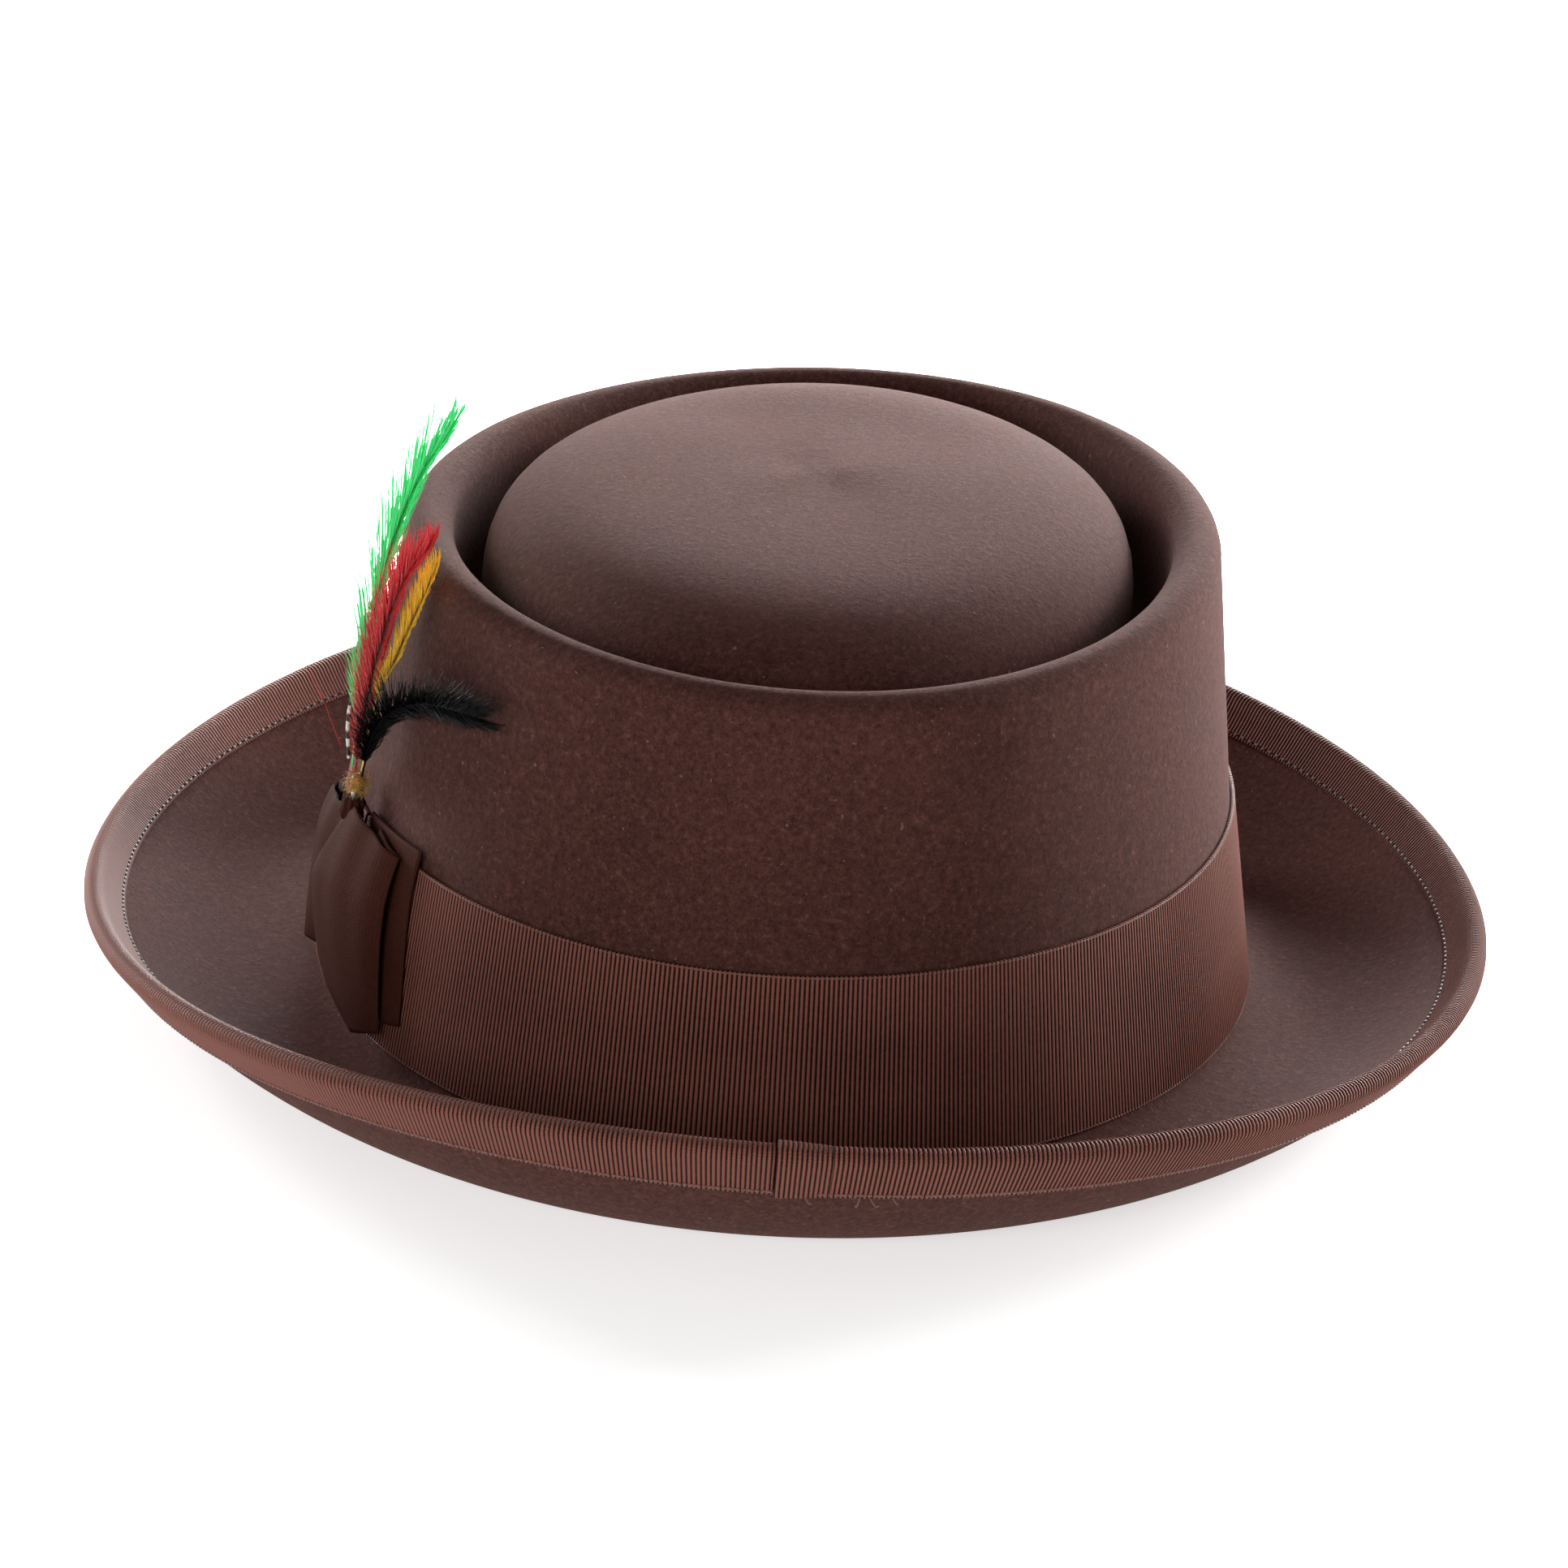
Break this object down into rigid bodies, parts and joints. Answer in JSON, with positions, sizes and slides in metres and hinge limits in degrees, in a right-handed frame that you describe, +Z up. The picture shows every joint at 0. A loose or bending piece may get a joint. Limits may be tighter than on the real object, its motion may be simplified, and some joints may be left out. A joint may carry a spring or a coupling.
{
  "type": "felt hat",
  "caption": "Brown felt hat with a flat-topped telescope crown, a curled bound brim, a ribbon band with a side bow, and a feather mount that lifts out of the bow",
  "frame": {"origin": "centre of the brim's outline, on the surface the hat stands on", "axes": "+Y to the front of the hat, +X to the wearer's right, +Z up"},
  "size_m": [0.2712, 0.2904, 0.1272],
  "materials": {
    "felt": "brushed wool felt",
    "binding_ribbon": "ribbed grosgrain",
    "lap_ribbon": "ribbed grosgrain",
    "top_thread": "twisted thread",
    "under_thread": "twisted thread",
    "band_ribbon": "ribbed grosgrain",
    "back_ribbon": "ribbed ribbon",
    "loop_ribbon": "satin ribbon",
    "wing_ribbon": "ribbed ribbon",
    "wrap_ribbon": "gathered ribbon",
    "stem_wire": "fine wire",
    "collar_fluff": "fluffy down",
    "green_vane": "dyed hackle",
    "red_vane": "dyed hackle",
    "yellow_vane": "dyed hackle",
    "black_vane": "dyed hackle",
    "quill_bars": "black and white bars",
    "filament_red": "single fibre",
    "lining_satin": "satin",
    "tip_satin": "satin",
    "piping_cord": "satin cord",
    "sweatband_leather": "smooth",
    "sweatband_thread": "twisted thread",
    "reed_plastic": "matt",
    "inside_bow_ribbon": "ribbed ribbon"
  },
  "bodies": {
    "hat": {"felt_body": "felt", "brim_binding": "binding_ribbon", "binding_lap": "lap_ribbon", "binding_top_thread": "top_thread", "binding_under_thread": "under_thread", "hatband": "band_ribbon", "bow_back_layer": "back_ribbon", "bow_front_loop": "loop_ribbon", "bow_side_wing": "wing_ribbon", "bow_centre_wrap": "wrap_ribbon", "lining_side": "lining_satin", "lining_tip": "tip_satin", "lining_piping": "piping_cord", "sweatband": "sweatband_leather", "sweatband_stitching": "sweatband_thread", "sweatband_reed": "reed_plastic", "sweatband_bow": "inside_bow_ribbon"},
    "feather_mount": {"feather_stem": "stem_wire", "feather_collar": "collar_fluff", "green_feather": "green_vane", "red_feather": "red_vane", "yellow_feather": "yellow_vane", "black_feather": "black_vane", "barred_quill": "quill_bars", "red_filament": "filament_red"}
  },
  "joints": [
    {"name": "feather_lift", "type": "slide", "parent": "hat", "child": "feather_mount", "axis": [0.1454, 0.0334, 0.9888], "range_m": [0, 0.05]}
  ]
}
